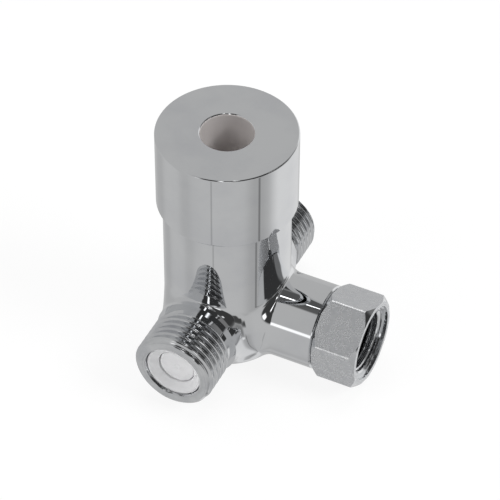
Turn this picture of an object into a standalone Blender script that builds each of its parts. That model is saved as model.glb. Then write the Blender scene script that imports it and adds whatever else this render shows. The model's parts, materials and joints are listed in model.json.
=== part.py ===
# Mixing valve for an automatic tap: chromed barrel with a temperature knob, two threaded inlets
# in line and an outlet with a captive union nut. Metres, +Z up, origin on the barrel's axis at its
# foot. The outlet points along +X, the front inlet along -Y and the rear inlet along +Y.

import math

import bmesh
import bpy
from mathutils import Matrix, Vector

# Shared clearances
GAP = 0.0003
CUT_OVERRUN = 0.001
MERGE = 0.00005
SPRING_MERGE = 0.00001
SHANK_CHAMFER_SHARE = 0.3

# Valve body: barrel
BARREL_RADIUS = 0.01587
BARREL_HEIGHT = 0.0490
BARREL_FOOT_ROUNDING = 0.0055
BARREL_TOP_CHAMFER = 0.0006
CHAMBER_WALL = 0.00567
CHAMBER_FLOOR = 0.0030
GLAND_SEAT_WIDTH = 0.0022

# Valve body: ports
PORT_HEIGHT = 0.0126
PORT_FILLET = 0.0048
PORT_FILLET_LEAST = 0.0005
INLET_THREAD_RADIUS = 0.01048
INLET_COLLAR_STEP = 0.0004
INLET_COLLAR_LENGTH = 0.0016
INLET_RELIEF_DEPTH = 0.0006
INLET_RELIEF_WIDTH = 0.0032
INLET_LENGTH = 0.01506
INLET_END_CHAMFER = 0.00095
INLET_WALL = 0.00298
INLET_POCKET_DEPTH = 0.01343
INLET_PASSAGE_RADIUS = 0.0055
OUTLET_RADIUS = 0.01089
OUTLET_LENGTH = 0.01187
OUTLET_END_CHAMFER = 0.0004
OUTLET_BORE_RADIUS = 0.0042
NECK_WALL = 0.0018
NECK_LENGTH = 0.0056
NECK_GROOVE_DEPTH = 0.0008

# Temperature knob and its screw
KNOB_RADIUS = 0.01744
KNOB_HEIGHT = 0.02131
KNOB_OVERLAP = 0.00336
KNOB_TOP_EDGE = 0.0004
KNOB_FOOT_EDGE = 0.0003
KNOB_SKIRT_WALL = 0.0011
KNOB_CROWN = 0.0068
KNOB_HOLE_RADIUS = 0.0067
KNOB_HOLE_WALL = 0.0022
KNOB_FLOOR = 0.0026
STOP_RIB_WIDTH = 0.0016
SCREW_HEAD_RADIUS = 0.0036
SCREW_HEAD_HEIGHT = 0.0026
SCREW_SHANK_RADIUS = 0.0015
SCREW_SHANK_LENGTH = 0.0080
SCREW_SOCKET_RADIUS = 0.0017
SCREW_SOCKET_DEPTH = 0.0015
TURN_HALF_ANGLE = math.radians(45)

# Gland, spindle and spool
GLAND_RECESS = 0.0006
GLAND_SLOT_WIDTH = 0.0030
GLAND_SLOT_DEPTH = 0.0020
GLAND_GROOVE_OFFSET = 0.0025
GLAND_GROOVE_WIDTH = 0.0019
GLAND_GROOVE_DEPTH = 0.0014
SPINDLE_RADIUS = 0.0040
SPINDLE_COLLAR_RADIUS = 0.0070
SPINDLE_COLLAR_HEIGHT = 0.0018
SPINDLE_SHOULDER_RISE = 0.0016
SPINDLE_GROOVE_OFFSET = 0.0060
SPINDLE_GROOVE_PITCH = 0.0045
SPINDLE_GROOVE_WIDTH = 0.0018
SPINDLE_GROOVE_DEPTH = 0.0011
SPINDLE_SQUARE = 0.0056
TONGUE_LENGTH = 0.0084
TONGUE_WIDTH = 0.0028
TONGUE_DEPTH = 0.0030
THRUST_WASHER_THICKNESS = 0.0010
CIRCLIP_GROOVE_RISE = 0.0003
CIRCLIP_THICKNESS = 0.0008
CIRCLIP_GROOVE_DEPTH = 0.0008
CIRCLIP_WIDTH = 0.0021
CIRCLIP_MOUTH = 0.0028
STOP_PIN_RADIUS = 0.0010
STOP_PIN_DEPTH = 0.0040
STOP_PIN_RISE = 0.0050
SPOOL_WALL = 0.0022
SPOOL_RING_HEIGHT = 0.0022
SPOOL_WINDOW_MARGIN = 0.0025
SPOOL_WINDOW_LIP = 0.0004
SPOOL_HEAD_HEIGHT = 0.0045

# Check valves
CHECK_RECESS = 0.00143
CHECK_DISH_DEPTH = 0.00155
CHECK_DISH_LAND = 0.0005
CHECK_SEAT_RADIUS = 0.0049
CHECK_SEAT_THICKNESS = 0.0020
CHECK_CAGE_WALL = 0.0012
CHECK_SLACK = 0.00045
CHECK_GROOVE_OFFSET = 0.0016
CHECK_GROOVE_WIDTH = 0.0015
CHECK_GROOVE_DEPTH = 0.00095
POPPET_DISC_THICKNESS = 0.0012
POPPET_SEAT_LAND = 0.0006
POPPET_STEM_RADIUS = 0.0011
POPPET_DIMPLE_RADIUS = 0.0008
POPPET_DIMPLE_DEPTH = 0.0003
GUIDE_THICKNESS = 0.0015
GUIDE_RIM = 0.0009
GUIDE_HUB_WALL = 0.0009
GUIDE_SPOKE_WIDTH = 0.0012
GUIDE_INSET = 0.0003
SPRING_WIRE_RADIUS = 0.0003
SPRING_RADIUS = 0.0032
SPRING_TURNS = 3
SPRING_STEPS = 36

# Union nut and its ring and washer
NUT_ACROSS_FLATS = 0.0214
NUT_LENGTH = 0.01227
NUT_CORNER_ROUNDING = 0.0008
NUT_TURN_ANGLE = math.radians(22.0)
NUT_BORE_RADIUS = 0.00748
NUT_MOUTH_CHAMFER = 0.0019
NUT_COLLAR_THICKNESS = 0.0024
NUT_CONE_SLOPE_SHARE = 0.5
NUT_RIM_INSET = 0.0001
RING_THICKNESS = 0.0009
RING_OUTER_LIP = 0.0011
WASHER_THICKNESS = 0.0018
WASHER_BORE_STEP = 0.0002

# Facets around the round pieces
BARREL_FACETS = 48
PORT_FACETS = 36
SMALL_FACETS = 24
FINE_FACETS = 20
RING_FACETS = 6
FILLET_STEPS = 4
ROUNDING_STEPS = 5

# Places that follow from the sizes above
CHAMBER_RADIUS = BARREL_RADIUS - CHAMBER_WALL
INLET_REACH = BARREL_RADIUS + INLET_LENGTH
INLET_COLLAR_RADIUS = INLET_THREAD_RADIUS + INLET_COLLAR_STEP
INLET_POCKET_RADIUS = INLET_THREAD_RADIUS - INLET_WALL
INLET_POCKET_FLOOR = INLET_REACH - INLET_POCKET_DEPTH
OUTLET_REACH = BARREL_RADIUS + OUTLET_LENGTH
NECK_RADIUS = OUTLET_BORE_RADIUS + NECK_WALL
NECK_REACH = OUTLET_REACH + NECK_LENGTH

SPOOL_RADIUS = CHAMBER_RADIUS - GAP
SPOOL_FOOT = CHAMBER_FLOOR + GAP
SPOOL_WINDOW_TOP = PORT_HEIGHT + INLET_PASSAGE_RADIUS + SPOOL_WINDOW_MARGIN
SPOOL_TOP = SPOOL_WINDOW_TOP + SPOOL_HEAD_HEIGHT
COLLAR_FOOT = SPOOL_TOP + GAP
COLLAR_TOP = COLLAR_FOOT + SPINDLE_COLLAR_HEIGHT
THRUST_FOOT = COLLAR_TOP + GAP
GLAND_FOOT = THRUST_FOOT + THRUST_WASHER_THICKNESS + GAP
GLAND_SEAT = GLAND_FOOT - GAP
GLAND_BORE_RADIUS = CHAMBER_RADIUS + GLAND_SEAT_WIDTH
GLAND_RADIUS = GLAND_BORE_RADIUS - GAP
GLAND_TOP = BARREL_HEIGHT - GLAND_RECESS
CIRCLIP_FOOT = GLAND_TOP + CIRCLIP_GROOVE_RISE + GAP
SHOULDER_TOP = BARREL_HEIGHT + SPINDLE_SHOULDER_RISE

KNOB_FOOT = BARREL_HEIGHT - KNOB_OVERLAP
KNOB_TOP = KNOB_FOOT + KNOB_HEIGHT
KNOB_CEILING = KNOB_TOP - KNOB_CROWN
KNOB_BOSS_RADIUS = KNOB_HOLE_RADIUS + KNOB_HOLE_WALL
KNOB_BOSS_FOOT = SHOULDER_TOP + GAP
KNOB_HOLE_FLOOR = KNOB_BOSS_FOOT + KNOB_FLOOR
KNOB_CAVITY_RADIUS = KNOB_RADIUS - KNOB_SKIRT_WALL
STOP_PIN_PLACE = (GLAND_BORE_RADIUS + BARREL_RADIUS) / 2


def clear_scene():
    for obj in list(bpy.data.objects):
        bpy.data.objects.remove(obj, do_unlink=True)


def make_collection(name):
    collection = bpy.data.collections.new(name)
    bpy.context.scene.collection.children.link(collection)
    return collection


def make_material(name, colour, roughness, metallic):
    material = bpy.data.materials.new(name)
    material.use_nodes = True
    shader = material.node_tree.nodes["Principled BSDF"]
    shader.inputs["Base Color"].default_value = (*colour, 1.0)
    shader.inputs["Roughness"].default_value = roughness
    shader.inputs["Metallic"].default_value = metallic
    return material


def add_object(name, mesh, collection, material=None):
    obj = bpy.data.objects.new(name, mesh)
    collection.objects.link(obj)
    if material:
        mesh.materials.clear()
        mesh.materials.append(material)
    return obj


def turned(name, profile, facets, collection, material=None, axis="Z"):
    # A closed profile of (radius, height) points, listed down its outer side and up its inner
    # side, turned about its axis. Points on the axis close a solid piece.
    closed = min(radius for radius, height in profile) > 0
    mesh = bpy.data.meshes.new(name)
    edges = [(i, i + 1) for i in range(len(profile) - 1)]
    if closed:
        edges.append((len(profile) - 1, 0))
    mesh.from_pydata([(radius, 0, height) for radius, height in profile], edges, [])
    obj = add_object(name, mesh, collection, material)
    screw = obj.modifiers.new("Turn", "SCREW")
    screw.steps = facets
    screw.render_steps = facets
    screw.use_merge_vertices = True
    screw.merge_threshold = MERGE
    baked = bpy.data.meshes.new_from_object(obj.evaluated_get(bpy.context.evaluated_depsgraph_get()))
    bpy.data.objects.remove(obj, do_unlink=True)
    bpy.data.meshes.remove(mesh)
    baked.name = name
    turn_to = {"Z": Matrix.Identity(4), "X": Matrix.Rotation(math.pi / 2, 4, "Y"),
               "-Y": Matrix.Rotation(math.pi / 2, 4, "X"), "Y": Matrix.Rotation(-math.pi / 2, 4, "X")}
    baked.transform(turn_to[axis])
    return add_object(name, baked, collection, material)


def box(name, low, high, collection, material=None):
    size = Vector(high) - Vector(low)
    shape = bmesh.new()
    bmesh.ops.create_cube(shape, size=1.0)
    bmesh.ops.scale(shape, vec=size, verts=shape.verts)
    bmesh.ops.translate(shape, vec=(Vector(high) + Vector(low)) / 2, verts=shape.verts)
    mesh = bpy.data.meshes.new(name)
    shape.to_mesh(mesh)
    shape.free()
    return add_object(name, mesh, collection, material)


def cylinder(name, radius, foot, top, facets, collection, material=None, axis="Z"):
    profile = [(0, top), (radius, top), (radius, foot), (0, foot)]
    return turned(name, profile, facets, collection, material, axis)


def torus(name, radius, minor, facets, collection, material):
    profile = []
    for step in range(RING_FACETS):
        angle = -2 * math.pi * (step + 0.5) / RING_FACETS
        profile.append((radius + minor * math.cos(angle), minor * math.sin(angle)))
    return turned(name, profile, facets, collection, material)


def shift(obj, offset):
    obj.data.transform(Matrix.Translation(offset))
    return obj


def spin(obj, angle, axis="Z"):
    obj.data.transform(Matrix.Rotation(angle, 4, axis))
    return obj


def combine(target, other, operation):
    other.hide_render = True
    other.display_type = "WIRE"
    step = target.modifiers.new(operation.title(), "BOOLEAN")
    step.operation = operation
    step.solver = "EXACT"
    step.object = other
    return target


def combine_all(target, others, operation, cutters):
    # One Boolean against a whole set, so that shapes which cross each other are solved together.
    group = bpy.data.collections.new(target.name + "_" + operation.lower())
    cutters.children.link(group)
    for other in others:
        other.hide_render = True
        other.display_type = "WIRE"
        cutters.objects.unlink(other)
        group.objects.link(other)
    step = target.modifiers.new(operation.title(), "BOOLEAN")
    step.operation = operation
    step.solver = "EXACT"
    step.operand_type = "COLLECTION"
    step.collection = group
    return target


def cut(target, cutter):
    return combine(target, cutter, "DIFFERENCE")


def join(target, other):
    return combine(target, other, "UNION")


def smooth(obj):
    obj.data.shade_smooth()
    obj.data.set_sharp_from_angle(angle=math.radians(35))
    return obj


def carry(obj, origin):
    # Gives a moving piece its origin on its joint's axis without moving its faces.
    obj.data.transform(Matrix.Translation(-Vector(origin)))
    obj.location = origin
    return obj


def arc(centre, radius, start, end, steps):
    points = []
    for step in range(steps + 1):
        angle = math.radians(start + (end - start) * step / steps)
        points.append((centre[0] + radius * math.cos(angle), centre[1] + radius * math.sin(angle)))
    return points


def fillet_radius(port_radius, angle):
    # A port's root is narrow on top and below, where the port stands square on the barrel, and
    # broad at its sides. The flatter the two meet, the larger is the ball for the same breadth.
    side_share = math.sin(angle) ** 2
    breadth = PORT_FILLET_LEAST + (PORT_FILLET - PORT_FILLET_LEAST) * side_share
    return breadth / (1 - side_share * port_radius / BARREL_RADIUS)


def ball_place(port_radius, ball, angle):
    # The centre of a ball that touches the port and the barrel from outside, and the point of the
    # barrel's axis, or of the circle that its foot is rounded about, from which the ball stands off.
    foot = BARREL_FOOT_ROUNDING
    side = (port_radius + ball) * math.sin(angle)
    height = PORT_HEIGHT + (port_radius + ball) * math.cos(angle)
    drop = max(foot - height, 0)
    inner = BARREL_RADIUS - foot
    across = inner + math.sqrt((foot + ball) ** 2 - drop ** 2)
    reach = math.sqrt(across ** 2 - side ** 2)
    centre = Vector((side, -reach, height))
    return centre, Vector((side * inner / across, -reach * inner / across, height + drop))


def port_root(name, port_radius, collection):
    # The flared root of a port along -Y: a ball rolled between barrel and port sweeps its
    # surface. Each ring of points runs from inside the barrel out to where the port is straight.
    shape = bmesh.new()
    rings = []
    for facet in range(PORT_FACETS):
        angle = 2 * math.pi * facet / PORT_FACETS
        ball = fillet_radius(port_radius, angle)
        centre, rest = ball_place(port_radius, ball, angle)
        to_port = Vector((-math.sin(angle), 0, -math.cos(angle)))
        to_barrel = (rest - centre).normalized()
        ring = []
        sweep = to_port.angle(to_barrel)
        for step in range(FILLET_STEPS + 1):
            share = step / FILLET_STEPS
            first = math.sin((1 - share) * sweep) / math.sin(sweep)
            second = math.sin(share * sweep) / math.sin(sweep)
            ring.append(centre + ball * (first * to_port + second * to_barrel))
        # Both ends of the sweep dip under the surface that they meet.
        ring[0] = ring[0] + GAP * to_port
        ring[-1] = ring[-1] + GAP * to_barrel
        inside = port_radius - GAP
        ring.append(Vector((inside * math.sin(angle), -CHAMBER_RADIUS / 2,
                            PORT_HEIGHT + inside * math.cos(angle))))
        rings.append([shape.verts.new(point) for point in ring])
    rows = len(rings[0])
    outer_cap = shape.verts.new((0, -BARREL_RADIUS, PORT_HEIGHT))
    inner_cap = shape.verts.new((0, -CHAMBER_RADIUS / 2, PORT_HEIGHT))
    for facet in range(PORT_FACETS):
        here = rings[facet]
        there = rings[(facet + 1) % PORT_FACETS]
        for row in range(rows - 1):
            shape.faces.new((here[row], here[row + 1], there[row + 1], there[row]))
        shape.faces.new((outer_cap, here[0], there[0]))
        shape.faces.new((inner_cap, there[-1], here[-1]))
    bmesh.ops.recalc_face_normals(shape, faces=shape.faces)
    mesh = bpy.data.meshes.new(name)
    shape.to_mesh(mesh)
    shape.free()
    return add_object(name, mesh, collection)


def port_height(obj):
    return shift(obj, (0, 0, PORT_HEIGHT))


def make_valve_body(parts, cutters, chrome):
    foot = BARREL_FOOT_ROUNDING
    outline = [(0, BARREL_HEIGHT), (BARREL_RADIUS - BARREL_TOP_CHAMFER, BARREL_HEIGHT),
               (BARREL_RADIUS, BARREL_HEIGHT - BARREL_TOP_CHAMFER)]
    outline += arc((BARREL_RADIUS - foot, foot), foot, 0, -90, ROUNDING_STEPS)
    outline.append((0, 0))
    body = turned("valve_body", outline, BARREL_FACETS, parts, chrome)

    relief = INLET_THREAD_RADIUS - INLET_RELIEF_DEPTH
    collar_end = BARREL_RADIUS + INLET_COLLAR_LENGTH
    start = CHAMBER_RADIUS
    inlet = [(0, INLET_REACH), (INLET_THREAD_RADIUS - INLET_END_CHAMFER, INLET_REACH),
             (INLET_THREAD_RADIUS, INLET_REACH - INLET_END_CHAMFER),
             (INLET_THREAD_RADIUS, collar_end + INLET_RELIEF_WIDTH),
             (relief, collar_end + INLET_RELIEF_WIDTH - INLET_RELIEF_DEPTH),
             (relief, collar_end), (INLET_COLLAR_RADIUS, collar_end),
             (INLET_COLLAR_RADIUS, start), (0, start)]
    adds = []
    for name, axis, half_turn in (("front", "-Y", 0), ("rear", "Y", math.pi)):
        adds.append(spin(port_root(name + "_inlet_root", INLET_COLLAR_RADIUS, cutters), half_turn))
        adds.append(port_height(turned(name + "_inlet_spigot", inlet, PORT_FACETS, cutters, axis=axis)))

    groove = NECK_RADIUS - NECK_GROOVE_DEPTH
    ring_foot = OUTLET_REACH + GAP + NUT_COLLAR_THICKNESS + GAP
    outlet = [(0, NECK_REACH), (NECK_RADIUS - OUTLET_END_CHAMFER, NECK_REACH),
              (NECK_RADIUS, NECK_REACH - OUTLET_END_CHAMFER),
              (NECK_RADIUS, ring_foot + RING_THICKNESS + GAP),
              (groove, ring_foot + RING_THICKNESS + GAP), (groove, ring_foot), (NECK_RADIUS, ring_foot),
              (NECK_RADIUS, OUTLET_REACH), (OUTLET_RADIUS - OUTLET_END_CHAMFER, OUTLET_REACH),
              (OUTLET_RADIUS, OUTLET_REACH - OUTLET_END_CHAMFER), (OUTLET_RADIUS, start), (0, start)]
    adds.append(spin(port_root("outlet_root", OUTLET_RADIUS, cutters), math.pi / 2))
    adds.append(port_height(turned("outlet_spigot", outlet, PORT_FACETS, cutters, axis="X")))
    combine_all(body, adds, "UNION", cutters)

    bore = [(0, BARREL_HEIGHT + CUT_OVERRUN), (GLAND_BORE_RADIUS, BARREL_HEIGHT + CUT_OVERRUN),
            (GLAND_BORE_RADIUS, GLAND_SEAT), (CHAMBER_RADIUS, GLAND_SEAT),
            (CHAMBER_RADIUS, CHAMBER_FLOOR), (0, CHAMBER_FLOOR)]
    bores = [turned("barrel_bore", bore, BARREL_FACETS, cutters)]
    pocket = [(0, INLET_REACH + CUT_OVERRUN), (INLET_POCKET_RADIUS, INLET_REACH + CUT_OVERRUN),
              (INLET_POCKET_RADIUS, INLET_POCKET_FLOOR), (INLET_PASSAGE_RADIUS, INLET_POCKET_FLOOR),
              (INLET_PASSAGE_RADIUS, 0), (0, 0)]
    for name, axis in (("front", "-Y"), ("rear", "Y")):
        bores.append(port_height(turned(name + "_inlet_bore", pocket, PORT_FACETS, cutters, axis=axis)))
    outlet_bore = cylinder("outlet_bore", OUTLET_BORE_RADIUS, 0, NECK_REACH + CUT_OVERRUN, SMALL_FACETS,
                           cutters, axis="X")
    bores.append(port_height(outlet_bore))
    pin_hole = cylinder("stop_pin_hole", STOP_PIN_RADIUS + GAP, BARREL_HEIGHT - STOP_PIN_DEPTH - GAP,
                        BARREL_HEIGHT + CUT_OVERRUN, FINE_FACETS, cutters)
    bores.append(shift(pin_hole, (-STOP_PIN_PLACE, 0, 0)))
    combine_all(body, bores, "DIFFERENCE", cutters)
    return smooth(body)


def make_knob(parts, cutters, chrome):
    edge = KNOB_TOP_EDGE
    rim = KNOB_RADIUS - edge
    hole_edge = KNOB_HOLE_RADIUS + edge
    profile = [(hole_edge, KNOB_TOP)]
    profile += arc((rim, KNOB_TOP - edge), edge, 90, 0, 2)
    profile += [(KNOB_RADIUS, KNOB_FOOT + KNOB_FOOT_EDGE), (KNOB_RADIUS - KNOB_FOOT_EDGE, KNOB_FOOT),
                (KNOB_CAVITY_RADIUS, KNOB_FOOT), (KNOB_CAVITY_RADIUS, KNOB_CEILING),
                (KNOB_BOSS_RADIUS, KNOB_CEILING), (KNOB_BOSS_RADIUS, KNOB_BOSS_FOOT),
                (SPINDLE_RADIUS + GAP, KNOB_BOSS_FOOT), (SPINDLE_RADIUS + GAP, KNOB_HOLE_FLOOR),
                (KNOB_HOLE_RADIUS, KNOB_HOLE_FLOOR), (KNOB_HOLE_RADIUS, KNOB_TOP - edge)]
    knob = turned("temperature_knob", profile, BARREL_FACETS, parts, chrome)

    # The floor of the hole is bored square for the spindle, so its round bore is filled first.
    plug = cylinder("knob_floor_plug", SPINDLE_RADIUS + GAP + KNOB_FLOOR / 2, KNOB_BOSS_FOOT,
                    KNOB_HOLE_FLOOR, SMALL_FACETS, cutters)
    join(knob, plug)
    half = SPINDLE_SQUARE / 2 + GAP
    cut(knob, box("knob_square_hole", (-half, -half, KNOB_BOSS_FOOT - CUT_OVERRUN),
                  (half, half, KNOB_HOLE_FLOOR + CUT_OVERRUN), cutters))

    rib_inner = (KNOB_BOSS_RADIUS + KNOB_HOLE_RADIUS) / 2
    rib_outer = (KNOB_RADIUS + KNOB_CAVITY_RADIUS) / 2
    pin_half = math.asin((STOP_PIN_RADIUS + GAP) / STOP_PIN_PLACE)
    rib_half = math.asin(STOP_RIB_WIDTH / 2 / STOP_PIN_PLACE)
    away = TURN_HALF_ANGLE + pin_half + rib_half
    for name, angle in (("left", math.pi - away), ("right", math.pi + away)):
        rib = box(name + "_stop_rib", (rib_inner, -STOP_RIB_WIDTH / 2, KNOB_BOSS_FOOT),
                  (rib_outer, STOP_RIB_WIDTH / 2, KNOB_CEILING + KNOB_CROWN / 2), cutters)
        join(knob, spin(rib, angle))
    return smooth(carry(knob, (0, 0, KNOB_FOOT)))


def make_knob_screw(parts, cutters, steel):
    seat = KNOB_HOLE_FLOOR + GAP
    top = seat + SCREW_HEAD_HEIGHT
    end = seat - SCREW_SHANK_LENGTH
    chamfer = SCREW_SHANK_RADIUS * SHANK_CHAMFER_SHARE
    profile = [(0, top), (SCREW_HEAD_RADIUS - chamfer, top), (SCREW_HEAD_RADIUS, top - chamfer),
               (SCREW_HEAD_RADIUS, seat), (SCREW_SHANK_RADIUS, seat),
               (SCREW_SHANK_RADIUS, end + chamfer), (SCREW_SHANK_RADIUS - chamfer, end), (0, end)]
    screw = turned("knob_screw", profile, FINE_FACETS, parts, steel)
    socket = cylinder("screw_socket", SCREW_SOCKET_RADIUS, top - SCREW_SOCKET_DEPTH, top + CUT_OVERRUN, 6,
                      cutters)
    cut(screw, socket)
    return smooth(carry(screw, (0, 0, seat)))


def make_spindle(parts, cutters, brass):
    groove = SPINDLE_RADIUS - SPINDLE_GROOVE_DEPTH
    clip_groove = SPINDLE_RADIUS - CIRCLIP_GROOVE_DEPTH
    square_top = KNOB_HOLE_FLOOR
    profile = [(0, square_top), (SPINDLE_RADIUS, square_top), (SPINDLE_RADIUS, CIRCLIP_FOOT
               + CIRCLIP_THICKNESS + GAP), (clip_groove, CIRCLIP_FOOT + CIRCLIP_THICKNESS + GAP),
               (clip_groove, CIRCLIP_FOOT - GAP), (SPINDLE_RADIUS, CIRCLIP_FOOT - GAP)]
    for seal in (1, 0):
        low = GLAND_FOOT + SPINDLE_GROOVE_OFFSET + seal * SPINDLE_GROOVE_PITCH
        high = low + SPINDLE_GROOVE_WIDTH
        profile += [(SPINDLE_RADIUS, high), (groove, high), (groove, low), (SPINDLE_RADIUS, low)]
    profile += [(SPINDLE_RADIUS, COLLAR_TOP), (SPINDLE_COLLAR_RADIUS, COLLAR_TOP),
                (SPINDLE_COLLAR_RADIUS, COLLAR_FOOT), (0, COLLAR_FOOT)]
    spindle = turned("spindle", profile, SMALL_FACETS, parts, brass)
    tongue = box("spindle_tongue", (-TONGUE_LENGTH / 2, -TONGUE_WIDTH / 2, COLLAR_FOOT - TONGUE_DEPTH),
                 (TONGUE_LENGTH / 2, TONGUE_WIDTH / 2, COLLAR_FOOT + SPINDLE_COLLAR_HEIGHT / 2), cutters)
    join(spindle, tongue)

    # Four flats make the square that carries the knob.
    half = SPINDLE_SQUARE / 2
    reach = 2 * SPINDLE_RADIUS
    for quarter in range(4):
        flat = box("spindle_flat", (half, -reach, SHOULDER_TOP), (reach, reach, square_top + CUT_OVERRUN),
                   cutters)
        cut(spindle, spin(flat, quarter * math.pi / 2))
    depth = SCREW_SHANK_LENGTH + CUT_OVERRUN
    hole = cylinder("spindle_screw_hole", SCREW_SHANK_RADIUS + GAP, square_top - depth,
                    square_top + CUT_OVERRUN, FINE_FACETS, cutters)
    cut(spindle, hole)
    return smooth(carry(spindle, (0, 0, COLLAR_FOOT)))


def make_spool(parts, cutters, plastic):
    inner = SPOOL_RADIUS - SPOOL_WALL
    profile = [(0, SPOOL_TOP), (SPOOL_RADIUS, SPOOL_TOP), (SPOOL_RADIUS, SPOOL_FOOT),
               (inner, SPOOL_FOOT), (inner, SPOOL_WINDOW_TOP), (0, SPOOL_WINDOW_TOP)]
    spool = turned("mixing_spool", profile, PORT_FACETS, parts, plastic)
    ring_top = SPOOL_FOOT + SPOOL_RING_HEIGHT
    reach = CHAMBER_RADIUS + CUT_OVERRUN
    window = box("spool_window", (SPOOL_WINDOW_LIP, -reach, ring_top),
                 (reach, reach, SPOOL_WINDOW_TOP - SPOOL_WINDOW_LIP), cutters)
    cut(spool, window)
    slot = box("spool_slot", (-TONGUE_LENGTH / 2 - GAP, -TONGUE_WIDTH / 2 - GAP,
                              COLLAR_FOOT - TONGUE_DEPTH - GAP),
               (TONGUE_LENGTH / 2 + GAP, TONGUE_WIDTH / 2 + GAP, SPOOL_TOP + CUT_OVERRUN), cutters)
    cut(spool, slot)
    return smooth(carry(spool, (0, 0, SPOOL_FOOT)))


def make_gland(parts, cutters, brass):
    bore = SPINDLE_RADIUS + GAP
    groove = GLAND_RADIUS - GLAND_GROOVE_DEPTH
    low = GLAND_FOOT + GLAND_GROOVE_OFFSET
    high = low + GLAND_GROOVE_WIDTH
    profile = [(GLAND_RADIUS, GLAND_TOP), (GLAND_RADIUS, high), (groove, high), (groove, low),
               (GLAND_RADIUS, low), (GLAND_RADIUS, GLAND_FOOT), (bore, GLAND_FOOT), (bore, GLAND_TOP)]
    gland = turned("gland_nut", profile, PORT_FACETS, parts, brass)
    reach = GLAND_RADIUS + CUT_OVERRUN
    half = GLAND_SLOT_WIDTH / 2
    slot = box("gland_slot", (-half, -reach, GLAND_TOP - GLAND_SLOT_DEPTH),
               (half, reach, GLAND_TOP + CUT_OVERRUN), cutters)
    cut(gland, slot)
    return smooth(gland)


def seal_ring(name, groove_radius, wall_radius, height, facets, parts, rubber):
    # An O-ring that nearly fills the space between its groove's floor and the wall.
    slack = GAP / 2
    minor = (wall_radius - groove_radius) / 2 - slack
    middle = (wall_radius + groove_radius) / 2
    return smooth(shift(torus(name, middle, minor, facets, parts, rubber), (0, 0, height)))


def make_spindle_seals(parts, rubber):
    groove = SPINDLE_RADIUS - SPINDLE_GROOVE_DEPTH
    wall = SPINDLE_RADIUS + GAP
    for seal, name in enumerate(("spindle_oring_lower", "spindle_oring_upper")):
        low = GLAND_FOOT + SPINDLE_GROOVE_OFFSET + seal * SPINDLE_GROOVE_PITCH
        ring = seal_ring(name, groove, wall, low + SPINDLE_GROOVE_WIDTH / 2, FINE_FACETS, parts, rubber)
        carry(ring, (0, 0, low))
    gland_groove = GLAND_RADIUS - GLAND_GROOVE_DEPTH
    middle = GLAND_FOOT + GLAND_GROOVE_OFFSET + GLAND_GROOVE_WIDTH / 2
    seal_ring("gland_oring", gland_groove, GLAND_BORE_RADIUS, middle, SMALL_FACETS, parts, rubber)


def make_thrust_washer(parts, plastic):
    inner = SPINDLE_RADIUS + GAP
    outer = SPINDLE_COLLAR_RADIUS + GAP
    top = THRUST_FOOT + THRUST_WASHER_THICKNESS
    profile = [(outer, top), (outer, THRUST_FOOT), (inner, THRUST_FOOT), (inner, top)]
    return smooth(turned("thrust_washer", profile, SMALL_FACETS, parts, plastic))


def make_circlip(parts, cutters, steel):
    inner = SPINDLE_RADIUS - CIRCLIP_GROOVE_DEPTH + GAP
    outer = inner + CIRCLIP_WIDTH
    top = CIRCLIP_FOOT + CIRCLIP_THICKNESS
    profile = [(outer, top), (outer, CIRCLIP_FOOT), (inner, CIRCLIP_FOOT), (inner, top)]
    clip = turned("circlip", profile, SMALL_FACETS, parts, steel)
    half = CIRCLIP_MOUTH / 2
    mouth = box("circlip_mouth", (0, -half, CIRCLIP_FOOT - CUT_OVERRUN), (2 * outer, half, top + CUT_OVERRUN),
                cutters)
    cut(clip, mouth)
    return smooth(carry(clip, (0, 0, CIRCLIP_FOOT)))


def make_stop_pin(parts, steel):
    low = BARREL_HEIGHT - STOP_PIN_DEPTH
    high = BARREL_HEIGHT + STOP_PIN_RISE
    chamfer = STOP_PIN_RADIUS * SHANK_CHAMFER_SHARE
    profile = [(0, high), (STOP_PIN_RADIUS - chamfer, high), (STOP_PIN_RADIUS, high - chamfer),
               (STOP_PIN_RADIUS, low + chamfer), (STOP_PIN_RADIUS - chamfer, low), (0, low)]
    pin = turned("stop_pin", profile, FINE_FACETS, parts, steel)
    return smooth(shift(pin, (-STOP_PIN_PLACE, 0, 0)))


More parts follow.
